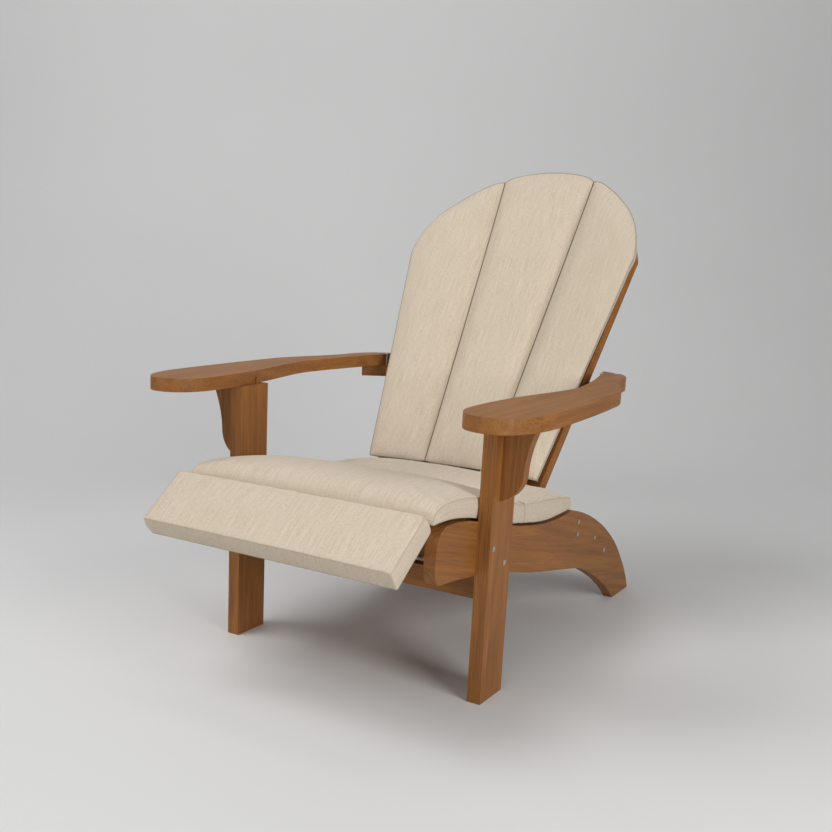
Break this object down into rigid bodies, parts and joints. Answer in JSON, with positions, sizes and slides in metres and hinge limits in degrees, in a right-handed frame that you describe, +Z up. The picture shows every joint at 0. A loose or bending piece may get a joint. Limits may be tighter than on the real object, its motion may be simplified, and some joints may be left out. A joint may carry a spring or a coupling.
{
  "type": "adirondack chair",
  "caption": "Wooden garden armchair with a low sloping seat, fan-shaped slatted back, wide paddle arms and loose channelled cushions with a front leg flap.",
  "frame": {"origin": "on the floor, below the middle of the chair's outline (flap edge to the top of the back)", "axes": "+X to the sitter's left, +Y towards the back, -Y is the front, +Z up"},
  "size_m": [0.7922, 1.1348, 0.9541],
  "materials": {
    "teak_cross": "oiled, grain across the chair",
    "teak_long": "oiled, grain front to back",
    "teak_upright": "oiled, upright grain",
    "teak_back": "oiled, grain up the back",
    "cushion_fabric": "matt woven outdoor cloth",
    "welt_fabric": "matt woven seam",
    "stainless": "satin",
    "dowel_beech": "raw"
  },
  "bodies": {
    "frame": {"left_stringer": "teak_long", "right_stringer": "teak_long", "left_front_leg": "teak_upright", "right_front_leg": "teak_upright", "left_corbel": "teak_upright", "right_corbel": "teak_upright", "left_arm": "teak_long", "right_arm": "teak_long", "front_stretcher": "teak_cross", "lower_back_rail": "teak_cross", "rear_stretcher": "teak_cross", "arm_rail": "teak_cross", "left_seat_cleat": "teak_long", "right_seat_cleat": "teak_long", "seat_slat_1": "teak_cross", "seat_slat_2": "teak_cross", "seat_slat_3": "teak_cross", "seat_slat_4": "teak_cross", "seat_slat_5": "teak_cross", "seat_slat_6": "teak_cross", "seat_slat_7": "teak_cross", "seat_slat_8": "teak_cross", "seat_slat_9": "teak_cross", "back_slat_1": "teak_back", "back_slat_2": "teak_back", "back_slat_3": "teak_back", "back_slat_4": "teak_back", "back_slat_5": "teak_back", "dowels": "dowel_beech", "leg_screws": "stainless", "stringer_screws": "stainless", "arm_screws": "stainless", "seat_slat_screws": "stainless", "back_slat_screws": "stainless"},
    "back_pad": {"back_cushion": "cushion_fabric"},
    "seat_pad_rear": {"seat_cushion_rear": "cushion_fabric", "mid_hinge_welt": "welt_fabric"},
    "seat_pad_mid": {"seat_cushion_mid": "cushion_fabric", "flap_hinge_welt": "welt_fabric"},
    "seat_pad_flap": {"seat_cushion_flap": "cushion_fabric"}
  },
  "joints": [
    {"name": "back_pad_lift", "type": "slide", "parent": "frame", "child": "back_pad", "axis": [0, -0.8368, 0.5476], "range_m": [0, 0.1]},
    {"name": "seat_pad_lift", "type": "slide", "parent": "frame", "child": "seat_pad_rear", "axis": [0, -0.5, 0.866], "range_m": [0, 0.2]},
    {"name": "mid_fold", "type": "hinge", "parent": "seat_pad_rear", "child": "seat_pad_mid", "pos_m": [0, -0.0799, 0.321], "axis": [-1, 0, 0], "range_deg": [0, 100]},
    {"name": "flap_fold", "type": "hinge", "parent": "seat_pad_mid", "child": "seat_pad_flap", "pos_m": [0, -0.4459, 0.346], "axis": [-1, 0, 0], "range_deg": [-54, 45]}
  ]
}
